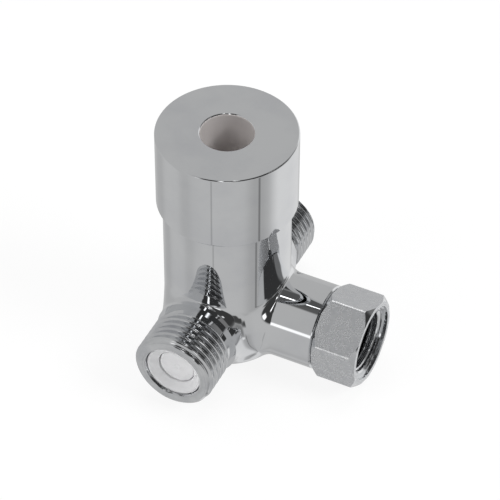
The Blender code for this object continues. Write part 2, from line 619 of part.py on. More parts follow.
def make_check_valve(side, axis, half_turn, parts, cutters, finishes):
    # One check valve, measured from the inlet's end face inwards, and turned to its inlet.
    face = INLET_REACH - CHECK_RECESS
    foot = INLET_POCKET_FLOOR + GAP
    outer = INLET_POCKET_RADIUS - CHECK_SLACK
    cage = outer - CHECK_CAGE_WALL
    dish = outer - CHECK_DISH_LAND
    seat_front = face - CHECK_DISH_DEPTH
    seat_back = seat_front - CHECK_SEAT_THICKNESS
    groove_high = face - CHECK_GROOVE_OFFSET
    groove_low = groove_high - CHECK_GROOVE_WIDTH
    groove = outer - CHECK_GROOVE_DEPTH
    profile = [(dish, face), (outer, face), (outer, groove_high), (groove, groove_high),
               (groove, groove_low), (outer, groove_low), (outer, foot), (cage, foot),
               (cage, seat_back), (CHECK_SEAT_RADIUS, seat_back), (CHECK_SEAT_RADIUS, seat_front)]
    housing = turned(side + "_check_housing", profile, SMALL_FACETS, parts, finishes["white"], axis)
    smooth(port_height(housing))

    disc_front = seat_back - GAP
    disc_back = disc_front - POPPET_DISC_THICKNESS
    disc_radius = CHECK_SEAT_RADIUS + POPPET_SEAT_LAND
    nose = CHECK_SEAT_RADIUS - GAP
    nose_front = seat_front - POPPET_DIMPLE_DEPTH
    guide_low = foot + GUIDE_INSET
    guide_high = guide_low + GUIDE_THICKNESS
    stem_end = guide_low
    profile = [(0, nose_front - POPPET_DIMPLE_DEPTH), (POPPET_DIMPLE_RADIUS, nose_front), (nose, nose_front),
               (nose, disc_front), (disc_radius, disc_front), (disc_radius, disc_back),
               (POPPET_STEM_RADIUS, disc_back), (POPPET_STEM_RADIUS, stem_end), (0, stem_end)]
    poppet = turned(side + "_check_poppet", profile, SMALL_FACETS, parts, finishes["white"], axis)
    poppet_origin = Vector((0, disc_back * math.cos(half_turn + math.pi), PORT_HEIGHT))
    smooth(carry(port_height(poppet), poppet_origin))

    ring = seal_ring(side + "_check_oring", groove, INLET_POCKET_RADIUS, 0, SMALL_FACETS, parts,
                     finishes["rubber"])
    spin(shift(ring, (0, 0, (groove_low + groove_high) / 2)), math.pi / 2, "X")
    port_height(spin(ring, half_turn))

    rim_outer = cage - GAP
    rim_inner = rim_outer - GUIDE_RIM
    profile = [(rim_outer, guide_high), (rim_outer, guide_low), (rim_inner, guide_low),
               (rim_inner, guide_high)]
    guide = turned(side + "_check_guide", profile, SMALL_FACETS, parts, finishes["white"], axis)
    hub_inner = POPPET_STEM_RADIUS + GAP
    hub_outer = hub_inner + GUIDE_HUB_WALL
    for spoke in range(3):
        arm = box(side + "_guide_arm", (0, -GUIDE_SPOKE_WIDTH / 2, guide_low),
                  (rim_inner + GUIDE_RIM / 2, GUIDE_SPOKE_WIDTH / 2, guide_high), cutters)
        spin(spin(arm, spoke * 2 * math.pi / 3), math.pi / 2, "X")
        join(guide, spin(arm, half_turn))
    join(guide, cylinder(side + "_guide_hub", hub_outer, guide_low, guide_high, FINE_FACETS, cutters,
                         axis=axis))
    cut(guide, cylinder(side + "_guide_hole", hub_inner, guide_low - CUT_OVERRUN, guide_high + CUT_OVERRUN,
                        FINE_FACETS, cutters, axis=axis))
    smooth(guide)
    guide.location = (0, 0, PORT_HEIGHT)
    for step in guide.modifiers:
        step.object.location = guide.location

    make_check_spring(side, guide_high + GAP, disc_back - GAP, half_turn, parts, finishes["steel"])


def make_check_spring(side, low, high, half_turn, parts, steel):
    wire = SPRING_WIRE_RADIUS
    rise = high - low - 2 * wire
    curve = bpy.data.curves.new(side + "_check_spring", "CURVE")
    curve.dimensions = "3D"
    curve.bevel_depth = wire
    curve.bevel_resolution = 1
    curve.use_fill_caps = True
    line = curve.splines.new("POLY")
    line.points.add(SPRING_STEPS)
    for step in range(SPRING_STEPS + 1):
        share = step / SPRING_STEPS
        angle = 2 * math.pi * SPRING_TURNS * share
        height = low + wire + rise * share
        line.points[step].co = (SPRING_RADIUS * math.cos(angle), SPRING_RADIUS * math.sin(angle), height, 1)
    coil = bpy.data.objects.new(side + "_check_spring", curve)
    parts.objects.link(coil)
    mesh = bpy.data.meshes.new_from_object(coil.evaluated_get(bpy.context.evaluated_depsgraph_get()))
    bpy.data.objects.remove(coil, do_unlink=True)
    shape = bmesh.new()
    shape.from_mesh(mesh)
    bmesh.ops.remove_doubles(shape, verts=shape.verts, dist=SPRING_MERGE)
    shape.to_mesh(mesh)
    shape.free()
    spring = add_object(side + "_check_spring", mesh, parts, steel)
    spin(spin(spring, math.pi / 2, "X"), half_turn)
    return smooth(port_height(spring))


def make_union_nut(parts, cutters, satin):
    inboard = OUTLET_REACH + GAP
    outboard = inboard + NUT_LENGTH
    shape = bmesh.new()
    corner = NUT_ACROSS_FLATS / 2 / math.cos(math.pi / 6)
    bmesh.ops.create_cone(shape, cap_ends=True, segments=6, radius1=corner, radius2=corner, depth=NUT_LENGTH)
    upright = [edge for edge in shape.edges if abs(edge.verts[0].co.z - edge.verts[1].co.z) > GAP]
    bmesh.ops.bevel(shape, geom=upright, offset=NUT_CORNER_ROUNDING * math.tan(math.pi / 6),
                    offset_type="OFFSET", segments=3, profile=0.5, affect="EDGES")
    mesh = bpy.data.meshes.new("union_nut")
    shape.to_mesh(mesh)
    shape.free()
    nut = add_object("union_nut", mesh, parts, satin)
    mesh.transform(Matrix.Rotation(math.pi / 2, 4, "Y"))

    # Both ends are turned to a cone that takes off the corners and leaves a round rim.
    rim = NUT_ACROSS_FLATS / 2 - NUT_RIM_INSET
    reach = corner + CUT_OVERRUN
    drop = (reach - rim) * NUT_CONE_SLOPE_SHARE
    half = NUT_LENGTH / 2
    envelope = [(0, half), (rim, half), (reach, half - drop), (reach, -half + drop), (rim, -half), (0, -half)]
    shell = turned("nut_envelope", envelope, PORT_FACETS, cutters, axis="X")
    combine(nut, shell, "INTERSECT")

    collar_end = -half + NUT_COLLAR_THICKNESS
    collar_bore = NECK_RADIUS + GAP
    mouth = NUT_BORE_RADIUS + NUT_MOUTH_CHAMFER
    bore = [(0, half + CUT_OVERRUN), (mouth, half + CUT_OVERRUN), (mouth, half),
            (NUT_BORE_RADIUS, half - NUT_MOUTH_CHAMFER), (NUT_BORE_RADIUS, collar_end),
            (collar_bore, collar_end), (collar_bore, -half - CUT_OVERRUN), (0, -half - CUT_OVERRUN)]
    cut(nut, turned("nut_bore", bore, PORT_FACETS, cutters, axis="X"))
    centre = ((inboard + outboard) / 2, 0, PORT_HEIGHT)
    nut.location = centre
    nut.rotation_euler = (-NUT_TURN_ANGLE, 0, 0)
    for step in nut.modifiers:
        step.object.location = centre
    return smooth(nut)


def make_nut_ring(parts, cutters, steel):
    foot = OUTLET_REACH + GAP + NUT_COLLAR_THICKNESS + GAP
    low = foot + GAP / 2
    high = low + RING_THICKNESS
    inner = NECK_RADIUS - NECK_GROOVE_DEPTH + GAP
    outer = NECK_RADIUS + RING_OUTER_LIP
    profile = [(outer, high), (outer, low), (inner, low), (inner, high)]
    ring = turned("nut_retaining_ring", profile, SMALL_FACETS, parts, steel, "X")
    half = RING_OUTER_LIP
    mouth = box("ring_mouth", (low - CUT_OVERRUN, -half, 0), (high + CUT_OVERRUN, half, 2 * outer), cutters)
    cut(ring, mouth)
    ring.location = (0, 0, PORT_HEIGHT)
    mouth.location = ring.location
    return smooth(ring)


def make_union_washer(parts, rubber):
    low = NECK_REACH + GAP
    high = low + WASHER_THICKNESS
    inner = OUTLET_BORE_RADIUS + WASHER_BORE_STEP
    outer = NUT_BORE_RADIUS - GAP
    profile = [(outer, high), (outer, low), (inner, low), (inner, high)]
    return smooth(port_height(turned("union_washer", profile, SMALL_FACETS, parts, rubber, "X")))


def main():
    clear_scene()
    parts = make_collection("mixing_valve")
    cutters = make_collection("cutters")
    chrome = make_material("chrome", (0.80, 0.81, 0.82), 0.06, 1.0)
    satin = make_material("satin_chrome", (0.62, 0.63, 0.64), 0.32, 1.0)
    brass = make_material("brass", (0.75, 0.58, 0.30), 0.28, 1.0)
    steel = make_material("spring_steel", (0.60, 0.60, 0.61), 0.25, 1.0)
    white = make_material("white_plastic", (0.82, 0.82, 0.84), 0.45, 0.0)
    black = make_material("black_rubber", (0.03, 0.03, 0.03), 0.75, 0.0)
    acetal = make_material("grey_acetal", (0.45, 0.46, 0.48), 0.40, 0.0)
    finishes = {"white": white, "rubber": black, "steel": steel}

    make_valve_body(parts, cutters, chrome)
    make_knob(parts, cutters, chrome)
    make_knob_screw(parts, cutters, steel)
    make_spindle(parts, cutters, brass)
    make_spool(parts, cutters, acetal)
    make_gland(parts, cutters, brass)
    make_spindle_seals(parts, black)
    make_thrust_washer(parts, white)
    make_circlip(parts, cutters, steel)
    make_stop_pin(parts, steel)
    make_check_valve("front", "-Y", 0, parts, cutters, finishes)
    make_check_valve("rear", "Y", math.pi, parts, cutters, finishes)
    make_union_nut(parts, cutters, satin)
    make_nut_ring(parts, cutters, steel)
    make_union_washer(parts, black)


main()
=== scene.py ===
import json
import math

import bmesh
import bpy
import numpy as np
from mathutils import Matrix, Vector

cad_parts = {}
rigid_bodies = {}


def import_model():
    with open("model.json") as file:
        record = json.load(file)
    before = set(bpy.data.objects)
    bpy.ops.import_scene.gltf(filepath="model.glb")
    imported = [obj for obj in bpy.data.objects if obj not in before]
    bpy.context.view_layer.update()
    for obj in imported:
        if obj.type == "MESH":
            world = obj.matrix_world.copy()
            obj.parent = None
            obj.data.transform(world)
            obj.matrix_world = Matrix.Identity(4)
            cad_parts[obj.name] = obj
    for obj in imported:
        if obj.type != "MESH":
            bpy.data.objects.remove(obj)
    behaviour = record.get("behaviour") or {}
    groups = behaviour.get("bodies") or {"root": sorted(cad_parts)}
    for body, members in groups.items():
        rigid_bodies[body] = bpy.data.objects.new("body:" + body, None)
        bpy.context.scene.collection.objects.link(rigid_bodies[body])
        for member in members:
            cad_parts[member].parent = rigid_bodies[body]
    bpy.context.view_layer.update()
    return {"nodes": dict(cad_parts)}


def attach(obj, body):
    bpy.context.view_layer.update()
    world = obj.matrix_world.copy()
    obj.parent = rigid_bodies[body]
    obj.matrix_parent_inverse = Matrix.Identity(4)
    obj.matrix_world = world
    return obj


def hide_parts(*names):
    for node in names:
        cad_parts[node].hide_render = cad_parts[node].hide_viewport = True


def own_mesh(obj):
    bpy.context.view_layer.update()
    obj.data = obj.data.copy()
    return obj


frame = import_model()
scene = bpy.context.scene
mm = 0.001
print("frame loaded:", len(frame["nodes"]), "nodes")


# small helpers for node trees

def addNode(tree, kind, inputs=None, **settings):
    node = tree.nodes.new(kind)
    for key, value in settings.items():
        setattr(node, key, value)
    for key, value in (inputs or {}).items():
        if isinstance(value, bpy.types.NodeSocket):
            tree.links.new(value, node.inputs[key])
        else:
            node.inputs[key].default_value = value
    return node


def mathNode(tree, operation, a, b=None, clamp=False):
    inputs = {0: a} if b is None else {0: a, 1: b}
    return addNode(tree, "ShaderNodeMath", inputs, operation=operation, use_clamp=clamp).outputs[0]


def mapNode(tree, value, fromLow, fromHigh, toLow, toHigh, style="SMOOTHSTEP"):
    inputs = {"Value": value, "From Min": fromLow, "From Max": fromHigh, "To Min": toLow, "To Max": toHigh}
    node = addNode(tree, "ShaderNodeMapRange", inputs, interpolation_type=style)
    return node.outputs["Result"]


def mixColours(tree, amount, first, second, blend="MIX"):
    node = addNode(tree, "ShaderNodeMix", data_type="RGBA", blend_type=blend)
    for index, value in ((0, amount), (6, first), (7, second)):
        if isinstance(value, bpy.types.NodeSocket):
            tree.links.new(value, node.inputs[index])
        else:
            node.inputs[index].default_value = value if index == 0 else (*value, 1.0)
    return node.outputs[2]


# finishes

def startMaterial(name):
    material = bpy.data.materials.new(name)
    material.use_nodes = True
    tree = material.node_tree
    shader = tree.nodes["Principled BSDF"]
    place = addNode(tree, "ShaderNodeTexCoord").outputs["Object"]
    return material, tree, shader, place


def noiseOn(tree, place, scale, detail=3.0, stretch=(1, 1, 1), offset=(0, 0, 0)):
    mapping = addNode(tree, "ShaderNodeMapping", {"Vector": place, "Scale": stretch, "Location": offset})
    noise = addNode(tree, "ShaderNodeTexNoise", {"Vector": mapping.outputs[0], "Scale": scale,
                                                 "Detail": detail, "Roughness": 0.55})
    return noise.outputs["Fac"]


def bumpOn(tree, shader, height, strength, distance):
    bump = addNode(tree, "ShaderNodeBump", {"Height": height, "Strength": strength, "Distance": distance})
    tree.links.new(bump.outputs["Normal"], shader.inputs["Normal"])
    return bump


# Each finish: colour where clean, colour where dull, roughness low and high, and how it is marked.
finishSettings = {
    "polishedChrome": dict(clean=(0.80, 0.81, 0.82), dull=(0.74, 0.75, 0.77), rough=(0.025, 0.075), metal=1.0,
                           grain=900, cloud=70, wave=0.04, waveScale=60, stretch=(1, 1, 1)),
    "threadChrome": dict(clean=(0.78, 0.79, 0.80), dull=(0.66, 0.67, 0.69), rough=(0.05, 0.14), metal=1.0,
                         grain=1500, cloud=160, wave=0.05, waveScale=260, stretch=(1, 1, 1)),
    "boredMetal": dict(clean=(0.64, 0.61, 0.60), dull=(0.58, 0.55, 0.54), rough=(0.42, 0.52), metal=0.25,
                       grain=1400, cloud=120, wave=0.06, waveScale=500, stretch=(1, 1, 6)),
    "satinNickel": dict(clean=(0.69, 0.70, 0.715), dull=(0.64, 0.65, 0.67), rough=(0.26, 0.36), metal=0.86,
                        grain=2600, cloud=500, wave=0.10, waveScale=700, stretch=(1, 1, 1)),
    # painted highlight: a lighter colour for the middle of the union nut's rounded corners
    "paintedCornerHighlight": dict(clean=(0.82, 0.82, 0.83), dull=(0.72, 0.73, 0.74), rough=(0.22, 0.32), metal=0.4,
                     grain=2600, cloud=500, wave=0.10, waveScale=900, stretch=(1, 1, 1)),
    "turnedBrass": dict(clean=(0.76, 0.58, 0.30), dull=(0.60, 0.42, 0.20), rough=(0.20, 0.36), metal=1.0,
                        grain=2000, cloud=180, wave=0.15, waveScale=900, stretch=(1, 1, 8)),
    "brightSteel": dict(clean=(0.62, 0.62, 0.63), dull=(0.50, 0.50, 0.52), rough=(0.18, 0.32), metal=1.0,
                        grain=2400, cloud=300, wave=0.10, waveScale=1200, stretch=(1, 1, 1)),
    "whitePlastic": dict(clean=(0.79, 0.79, 0.80), dull=(0.74, 0.74, 0.75), rough=(0.34, 0.50), metal=0.0,
                         grain=3000, cloud=200, wave=0.08, waveScale=1500, stretch=(1, 1, 1)),
    "greyPlastic": dict(clean=(0.45, 0.46, 0.48), dull=(0.38, 0.39, 0.41), rough=(0.32, 0.48), metal=0.0,
                        grain=3000, cloud=200, wave=0.08, waveScale=1500, stretch=(1, 1, 1)),
    "blackRubber": dict(clean=(0.030, 0.030, 0.032), dull=(0.055, 0.055, 0.055), rough=(0.60, 0.80), metal=0.0,
                        grain=2500, cloud=260, wave=0.20, waveScale=1800, stretch=(1, 1, 1)),
}


def makeFinish(name, s):
    material, tree, shader, place = startMaterial(name)
    cloud = noiseOn(tree, place, s["cloud"], 4.0)
    grain = noiseOn(tree, place, s["grain"], 2.0, s["stretch"], (0.3, 0.1, 0.2))
    marked = mapNode(tree, cloud, 0.38, 0.72, 0.0, 1.0)
    speckle = mapNode(tree, grain, 0.45, 0.75, 0.0, 1.0)
    tree.links.new(mixColours(tree, marked, s["clean"], s["dull"]), shader.inputs["Base Color"])
    both = mathNode(tree, "MULTIPLY_ADD", speckle, 0.35)
    tree.links.new(mapNode(tree, marked, 0, 1, 0, 0.65), both.node.inputs[2])
    tree.links.new(mapNode(tree, both, 0, 1, s["rough"][0], s["rough"][1], "LINEAR"), shader.inputs["Roughness"])
    shader.inputs["Metallic"].default_value = s["metal"]
    ripple = noiseOn(tree, place, s["waveScale"], 2.0, s["stretch"], (0.7, 0.4, 0.9))
    bumpOn(tree, shader, ripple, s["wave"], 0.00006)
    return material


finishes = {name: makeFinish(name, s) for name, s in finishSettings.items()}
print("finishes made:", len(finishes))


# small helpers for meshes

def addMesh(name, points, faces, material):
    mesh = bpy.data.meshes.new(name)
    mesh.from_pydata([tuple(point) for point in points], [], faces)
    obj = bpy.data.objects.new(name, mesh)
    scene.collection.objects.link(obj)
    mesh.materials.append(material)
    return obj


def cleanMesh(obj, angle=35, merge=1e-7):
    shape = bmesh.new()
    shape.from_mesh(obj.data)
    bmesh.ops.remove_doubles(shape, verts=shape.verts, dist=merge)
    bmesh.ops.dissolve_degenerate(shape, edges=shape.edges, dist=merge)
    bmesh.ops.recalc_face_normals(shape, faces=shape.faces)
    shape.to_mesh(obj.data)
    shape.free()
    obj.data.shade_smooth()
    obj.data.set_sharp_from_angle(angle=math.radians(angle))
    return obj


def bake(obj):
    # the evaluated mesh takes the place of the object's own, and its modifiers go
    depsgraph = bpy.context.evaluated_depsgraph_get()
    mesh = bpy.data.meshes.new_from_object(obj.evaluated_get(depsgraph))
    obj.modifiers.clear()
    obj.data = mesh
    return obj


def drop(*objs):
    for obj in objs:
        bpy.data.objects.remove(obj, do_unlink=True)


def boolean(obj, others, operation):
    for other in others:
        step = obj.modifiers.new(operation, "BOOLEAN")
        step.operation = operation
        step.solver = "EXACT"
        step.object = other
        step.material_mode = "TRANSFER"
    bake(obj)
    drop(*others)
    return obj


def rounded(corners, steps=5, support=0.02):
    # corners: (radius, height, rounding) in mm; each rounding becomes an arc with a support point
    # on either side, so that flat faces keep a flat shade
    count = len(corners)
    points = []
    for i, (r, h, fillet) in enumerate(corners):
        here = Vector((r, h))
        before = Vector(corners[i - 1][:2])
        after = Vector(corners[(i + 1) % count][:2])
        if not fillet:
            points.append((r, h))
            continue
        a = (before - here).normalized()
        b = (after - here).normalized()
        half = a.angle(b) / 2
        reach = fillet / math.tan(half)
        centre = here + (a + b).normalized() * (fillet / math.sin(half))
        start, end = here + a * reach, here + b * reach
        points.append(tuple(start + a * support))
        first, last = start - centre, end - centre
        turn = first.angle(last)
        for step in range(steps + 1):
            share = step / steps
            mix = (math.sin((1 - share) * turn) * first + math.sin(share * turn) * last) / math.sin(turn)
            points.append(tuple(centre + mix))
        points.append(tuple(end + b * support))
    return points


turnTo = {"Z": Matrix.Identity(4), "X": Matrix.Rotation(math.pi / 2, 4, "Y"),
          "-Y": Matrix.Rotation(math.pi / 2, 4, "X"), "Y": Matrix.Rotation(-math.pi / 2, 4, "X")}


def lathe(name, profile, steps, material, axis="Z", place=(0, 0, 0)):
    # profile in mm, (radius, height) points round a closed outline; place in mm
    points, rows = [], []
    for r, h in profile:
        if r < 1e-6:
            rows.append([len(points)] * steps)
            points.append((0, 0, h * mm))
            continue
        row = []
        for step in range(steps):
            angle = 2 * math.pi * step / steps
            row.append(len(points))
            points.append((r * mm * math.cos(angle), r * mm * math.sin(angle), h * mm))
        rows.append(row)
    faces = []
    for i in range(len(rows)):
        low, high = rows[i], rows[(i + 1) % len(rows)]
        for step in range(steps):
            after = (step + 1) % steps
            ring = list(dict.fromkeys((low[step], low[after], high[after], high[step])))
            if len(ring) > 2:
                faces.append(ring)
    obj = addMesh(name, points, faces, material)
    obj.data.transform(Matrix.Translation(Vector(place) * mm) @ turnTo[axis])
    return cleanMesh(obj)


def boxMesh(name, low, high, material, turn=0.0):
    corners = [(x, y, z) for x in (low[0], high[0]) for y in (low[1], high[1]) for z in (low[2], high[2])]
    faces = [(0, 1, 3, 2), (4, 6, 7, 5), (0, 4, 5, 1), (2, 3, 7, 6), (0, 2, 6, 4), (1, 5, 7, 3)]
    obj = addMesh(name, [Vector(corner) * mm for corner in corners], faces, material)
    obj.data.transform(Matrix.Rotation(turn, 4, "Z"))
    return cleanMesh(obj)


def joinInto(target, others):
    shape = bmesh.new()
    shape.from_mesh(target.data)
    for other in others:
        shape.from_mesh(other.data)
    shape.to_mesh(target.data)
    shape.free()
    drop(*others)
    target.data.shade_smooth()
    target.data.set_sharp_from_angle(angle=math.radians(35))
    return target


def settle(obj, body, slotName, *nodes):
    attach(obj, body)
    if nodes:
        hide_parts(*nodes)
    return obj


# camera
camera = {
    "azimuth": 25.64, "elevation": 44.19, "roll": 0.27,      # degrees
    "distance": 700.0, "pixelsPerMm": 3.93,                  # at the target, image 500 px wide
    "shiftRight": -5.65, "shiftUp": -17.48, "lift": 3.35,    # mm
}


def placeCamera(s):
    a, e, roll = (math.radians(s[key]) for key in ("azimuth", "elevation", "roll"))
    back = Vector((math.sin(a) * math.cos(e), -math.cos(a) * math.cos(e), math.sin(e)))
    right = Vector((math.cos(a), math.sin(a), 0))
    up = back.cross(right)
    sideways = math.cos(roll) * right + math.sin(roll) * up
    upwards = -math.sin(roll) * right + math.cos(roll) * up
    data = bpy.data.cameras.new("camera")
    data.sensor_width = 36
    data.lens = s["pixelsPerMm"] * s["distance"] * data.sensor_width / 500
    data.clip_start, data.clip_end = 0.01, 50
    obj = bpy.data.objects.new("camera", data)
    scene.collection.objects.link(obj)
    place = s["distance"] * back - s["shiftRight"] * sideways - s["shiftUp"] * upwards
    place.z += s["lift"]
    turn = Matrix((sideways, upwards, back)).transposed().to_4x4()
    obj.matrix_world = Matrix.Translation(place * mm) @ turn
    scene.camera = obj


placeCamera(camera)


# studio
studio = {
    "ground": 0.52, "seam": -140.0,
    # cards hung round the object, as polished metal sees them, each over the ones before:
    # azimuth from, to, softness; elevation from, to, softness; light. Azimuth 0 is -Y, 90 is +X.
    "cards": (
        (-200, 300, 1, 3, 100, 3, 0.49),         # ceiling
        (-125, -98, 8, -90, 4, 8, 0.46),         # the table, lighter and darker by turns
        (-88, -59, 8, -90, 4, 8, 0.54),
        (-54, -36, 7, -90, 4, 8, 0.48),
        (-24, 50, 12, -90, 6, 4, 0.54),
        (105, 186, 13, -90, 3, 3, 0.75),
        (148, 180, 5, -30, 34, 5, 0.86),
        (62, 92, 12, -90, -24, 6, 0.42),
        (-0.6, 1.6, 1.0, -90, -20, 6, 0.38),     # seams of the table
        (77, 80.3, 1.2, -90, -24, 6, 0.21),
        (-13, 150, 2, 8, 64, 3, 0.045),          # dark room behind the camera
        (-17, 30, 2, 38, 64, 3, 0.040),
        (-22, 30, 3, 52, 66, 3, 0.040),
        (124, 151, 4, 4, 48, 5, 0.20),
        (61, 86, 3, -4, 9, 3, 0.06),
        (71, 86, 2, -9, 9, 2, 0.06),
        (86, 126, 6, -26, 9, 9, 0.24),
        (-70, 160, 6, 65, 82, 2, 0.11),
        (18, 33, 3, 10, 20, 3, 1.7),             # lamps and windows
        (-20, -13, 2, 5, 12, 2, 1.3),
        (11, 19, 2, 38, 64, 4, 2.0),
        (42, 55, 3, 67, 75, 3, 4.0),
        (86, 102, 4, -34, -28, 2, 0.85),
        (94, 115, 3, 38.5, 44, 2, 0.95),
    ),
    "floorColour": 0.86,
    "lamps": (("key", (1.0, 0.1, 0.9), 0.6, 12.0), ("fill", (-0.6, -0.9, 0.9), 0.9, 6.0),
              ("top", (0.0, 0.3, 1.4), 0.9, 8.0)),
}


def makeWorld(s):
    world = bpy.data.worlds.new("studio")
    scene.world = world
    world.use_nodes = True
    tree = world.node_tree
    tree.nodes.clear()
    direction = addNode(tree, "ShaderNodeTexCoord").outputs["Generated"]
    x, y, z = addNode(tree, "ShaderNodeSeparateXYZ", {0: direction}).outputs
    azimuth = mathNode(tree, "DEGREES", mathNode(tree, "ARCTAN2", x, mathNode(tree, "MULTIPLY", y, -1.0)))
    wrap = addNode(tree, "ShaderNodeMath", {0: azimuth, 1: s["seam"] + 360, 2: s["seam"]}, operation="WRAP")
    azimuth = wrap.outputs[0]
    elevation = mathNode(tree, "DEGREES", mathNode(tree, "ARCSINE", z))

    def within(value, low, high, soft):
        rise = mapNode(tree, value, low - soft, low + soft, 0.0, 1.0)
        return mathNode(tree, "MULTIPLY", rise, mapNode(tree, value, high - soft, high + soft, 1.0, 0.0))

    seen = s["ground"]
    for left, right, sideSoft, low, high, edgeSoft, light in s["cards"]:
        card = mathNode(tree, "MULTIPLY", within(azimuth, left, right, sideSoft),
                        within(elevation, low, high, edgeSoft))
        mix = addNode(tree, "ShaderNodeMix", {0: card, 2: seen, 3: light}, data_type="FLOAT")
        seen = mix.outputs[0]
    paths = addNode(tree, "ShaderNodeLightPath")
    strength = mathNode(tree, "MAXIMUM", seen, paths.outputs["Is Camera Ray"])
    background = addNode(tree, "ShaderNodeBackground", {"Color": (1, 1, 1, 1), "Strength": strength})
    output = addNode(tree, "ShaderNodeOutputWorld")
    tree.links.new(background.outputs[0], output.inputs["Surface"])


def makeStudio(s):
    makeWorld(s)
    material = bpy.data.materials.new("floorPaper")
    material.use_nodes = True
    tree = material.node_tree
    shader = tree.nodes["Principled BSDF"]
    shader.inputs["Roughness"].default_value = 0.8
    place = addNode(tree, "ShaderNodeTexCoord").outputs["Object"]
    fibre = noiseOn(tree, place, 40, 3.0)
    shade = s["floorColour"]
    paper = mixColours(tree, mapNode(tree, fibre, 0.3, 0.7, 0.0, 1.0), (shade, shade, shade),
                       (shade - 0.01, shade - 0.01, shade - 0.01))
    tree.links.new(paper, shader.inputs["Base Color"])
    glow = addNode(tree, "ShaderNodeEmission", {"Color": (1, 1, 1, 1), "Strength": 1.0})
    paths = addNode(tree, "ShaderNodeLightPath")
    seen = mathNode(tree, "MAXIMUM", paths.outputs["Is Camera Ray"], paths.outputs["Is Glossy Ray"])
    seen = mathNode(tree, "MAXIMUM", seen, paths.outputs["Is Transmission Ray"])
    mixed = addNode(tree, "ShaderNodeMixShader", {0: mathNode(tree, "MULTIPLY", seen, 0.88)})
    tree.links.new(shader.outputs[0], mixed.inputs[1])
    tree.links.new(glow.outputs[0], mixed.inputs[2])
    tree.links.new(mixed.outputs[0], tree.nodes["Material Output"].inputs["Surface"])

    side = 3.0
    floor = addMesh("floor", [(-side, -side, 0), (side, -side, 0), (side, side, 0), (-side, side, 0)],
                    [(0, 1, 2, 3)], material)
    floor.visible_glossy = False     # polished metal shows the studio's own ground instead

    for name, place, size, power in s["lamps"]:
        data = bpy.data.lights.new(name, "AREA")
        data.shape = "DISK"
        data.size = size
        data.energy = power
        lamp = bpy.data.objects.new(name, data)
        lamp.location = place
        lamp.rotation_euler = Vector(place).to_track_quat("Z", "Y").to_euler()
        lamp.visible_glossy = False
        scene.collection.objects.link(lamp)


makeStudio(studio)
scene.view_settings.view_transform = "Standard"
print("camera and studio ready")


# cast body
casting = {
    "barrelRadius": 15.87, "barrelHeight": 49.0, "footRounding": 5.5,
    "portHeight": 12.6, "inletRadius": 10.88, "outletRadius": 10.89,
    "rootAtSides": 4.2, "rootOnTop": 0.5,                     # fillet between port and barrel
    "collarEnd": 17.47, "outletEnd": 27.74, "outletChamfer": 0.4,
    "chamberRadius": 10.2, "chamberFloor": 3.0, "glandSeat": 31.4, "glandBore": 12.4,
    "pocketRadius": 7.5, "pocketFloor": 17.5, "passageRadius": 5.5, "outletBore": 4.2,
    "voxel": 0.40,
}


def castingField(p, s):
    # signed distance, in mm, to barrel and ports with a ball-shaped fillet between them
    x, y, z = p[:, 0], p[:, 1], p[:, 2]
    foot = s["footRounding"]
    a = np.hypot(x, y) - (s["barrelRadius"] - foot)
    b = foot - z
    field = np.hypot(np.maximum(a, 0), np.maximum(b, 0)) + np.minimum(np.maximum(a, b), 0) - foot
    up = z - s["portHeight"]
    for along, side, radius in ((-y, x, s["inletRadius"]), (y, x, s["inletRadius"]), (x, y, s["outletRadius"])):
        reach = np.hypot(side, up)
        port = np.where(along > 0, reach - radius, np.hypot(reach, along) - radius)
        port = np.maximum(port, -along * 0.5 - 2)
        rise = (up / np.maximum(reach, 1e-6)) ** 2
        ball = s["rootOnTop"] * rise + s["rootAtSides"] * (1 - rise)
        u, v = np.maximum(ball - field, 0), np.maximum(ball - port, 0)
        field = np.maximum(ball, np.minimum(field, port)) - np.hypot(u, v)
    return field


def fieldSlope(p, s):
    slope = np.empty_like(p)
    for i in range(3):
        step = np.zeros(3)
        step[i] = 0.002
        slope[:, i] = (castingField(p + step, s) - castingField(p - step, s)) / 0.004
    return slope


def settleOnField(p, s, rounds):
    for _ in range(rounds):
        slope = fieldSlope(p, s)
        length = np.maximum((slope ** 2).sum(1), 0.05)
        move = slope * (castingField(p, s) / length)[:, None]
        size = np.linalg.norm(move, axis=1)
        p = p - move * np.minimum(1, 0.6 / np.maximum(size, 1e-9))[:, None]
    return p


